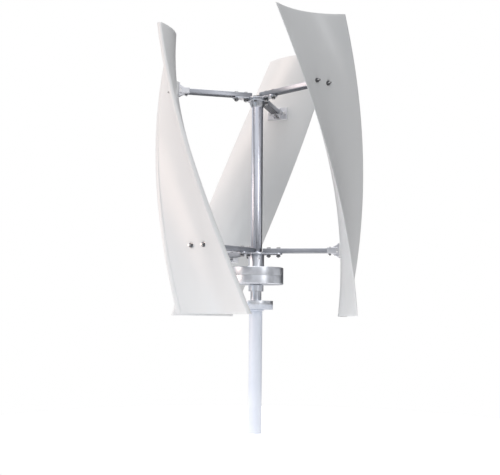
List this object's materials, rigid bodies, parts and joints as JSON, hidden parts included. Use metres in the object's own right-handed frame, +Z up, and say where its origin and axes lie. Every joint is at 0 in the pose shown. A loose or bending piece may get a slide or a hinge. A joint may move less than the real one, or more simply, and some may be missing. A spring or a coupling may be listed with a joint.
{
  "type": "vertical axis wind turbine",
  "caption": "Helical vertical axis wind turbine: twisted white scoop blades on arms and a central shaft turn a flat disc generator flanged to the top of a pole.",
  "frame": {"origin": "centre of the pole's lower end, on the rotor's axis", "axes": "+Z up along the pole and the rotor's axis; -Y is the side that the turbine is seen from, +X to the right there"},
  "size_m": [0.7689, 0.7799, 1.474],
  "materials": {
    "pole_paint": "pale blue-grey powder coat",
    "turned_aluminium": "turned, satin",
    "shaft_aluminium": "drawn tube, satin anodised",
    "arm_aluminium": "extruded, mill finish",
    "bracket_aluminium": "die cast, bead blasted",
    "plate_zinc": "bright zinc plated sheet",
    "stainless_fastener": "stainless",
    "bearing_steel": "ground bearing steel",
    "back_iron_steel": "mild steel plate",
    "magnet_nickel": "nickel plated magnet",
    "stator_resin": "cast resin",
    "coil_copper": "enamelled copper wire",
    "seal_rubber": "matt rubber",
    "cap_plastic": "moulded",
    "blade_gelcoat": "white gloss gelcoat on glass fibre"
  },
  "bodies": {
    "mast": {"mast_pole": "pole_paint", "mast_flange": "pole_paint", "base_flange": "turned_aluminium", "flange_screws": "stainless_fastener", "stator_axle": "turned_aluminium", "stator_hub": "turned_aluminium", "stator_disc": "stator_resin", "stator_coils": "coil_copper", "stator_screws": "stainless_fastener", "lower_bearing_inner": "bearing_steel", "upper_bearing_inner": "bearing_steel", "axle_washer": "stainless_fastener", "axle_nut": "stainless_fastener"},
    "rotor": {"lower_bearing_outer": "bearing_steel", "upper_bearing_outer": "bearing_steel", "shaft_seal": "seal_rubber", "lower_housing": "turned_aluminium", "upper_housing": "turned_aluminium", "seam_gasket": "seal_rubber", "housing_screws": "stainless_fastener", "lower_back_iron": "back_iron_steel", "upper_back_iron": "back_iron_steel", "lower_magnets": "magnet_nickel", "upper_magnets": "magnet_nickel", "rotor_shaft": "shaft_aluminium", "shaft_set_screws": "stainless_fastener", "shaft_collar": "shaft_aluminium", "shaft_cap": "cap_plastic", "lower_hub_plate": "plate_zinc", "upper_hub_plate": "plate_zinc", "lower_hub_screws": "stainless_fastener", "upper_hub_bolts": "stainless_fastener", "upper_hub_nuts": "stainless_fastener", "lower_arm_1": "arm_aluminium", "lower_arm_2": "arm_aluminium", "lower_arm_3": "arm_aluminium", "upper_arm_1": "arm_aluminium", "upper_arm_2": "arm_aluminium", "upper_arm_3": "arm_aluminium", "lower_arm_bolts": "stainless_fastener", "lower_arm_nuts": "stainless_fastener", "upper_arm_bolts": "stainless_fastener", "upper_arm_nuts": "stainless_fastener", "lower_bracket_1": "bracket_aluminium", "lower_bracket_2": "bracket_aluminium", "lower_bracket_3": "bracket_aluminium", "upper_bracket_1": "bracket_aluminium", "upper_bracket_2": "bracket_aluminium", "upper_bracket_3": "bracket_aluminium", "bracket_bolts": "stainless_fastener", "bracket_nuts": "stainless_fastener", "blade_1": "blade_gelcoat", "blade_2": "blade_gelcoat", "blade_3": "blade_gelcoat", "blade_bolts": "stainless_fastener", "blade_washers": "stainless_fastener", "blade_nuts": "stainless_fastener"},
    "lower_balls": {"lower_bearing_balls": "bearing_steel"},
    "upper_balls": {"upper_bearing_balls": "bearing_steel"}
  },
  "joints": [
    {"name": "rotor_spin", "type": "hinge", "parent": "mast", "child": "rotor", "pos_m": [0, 0, 0.5675], "axis": [0, 0, 1], "continuous": true},
    {"name": "lower_balls_spin", "type": "hinge", "parent": "mast", "child": "lower_balls", "pos_m": [0, 0, 0.5455], "axis": [0, 0, 1], "continuous": true},
    {"name": "upper_balls_spin", "type": "hinge", "parent": "mast", "child": "upper_balls", "pos_m": [0, 0, 0.5895], "axis": [0, 0, 1], "continuous": true}
  ],
  "couplings": [
    {"joint": "lower_balls_spin", "follows": "rotor_spin", "ratio": 0.584},
    {"joint": "upper_balls_spin", "follows": "rotor_spin", "ratio": 0.584}
  ]
}
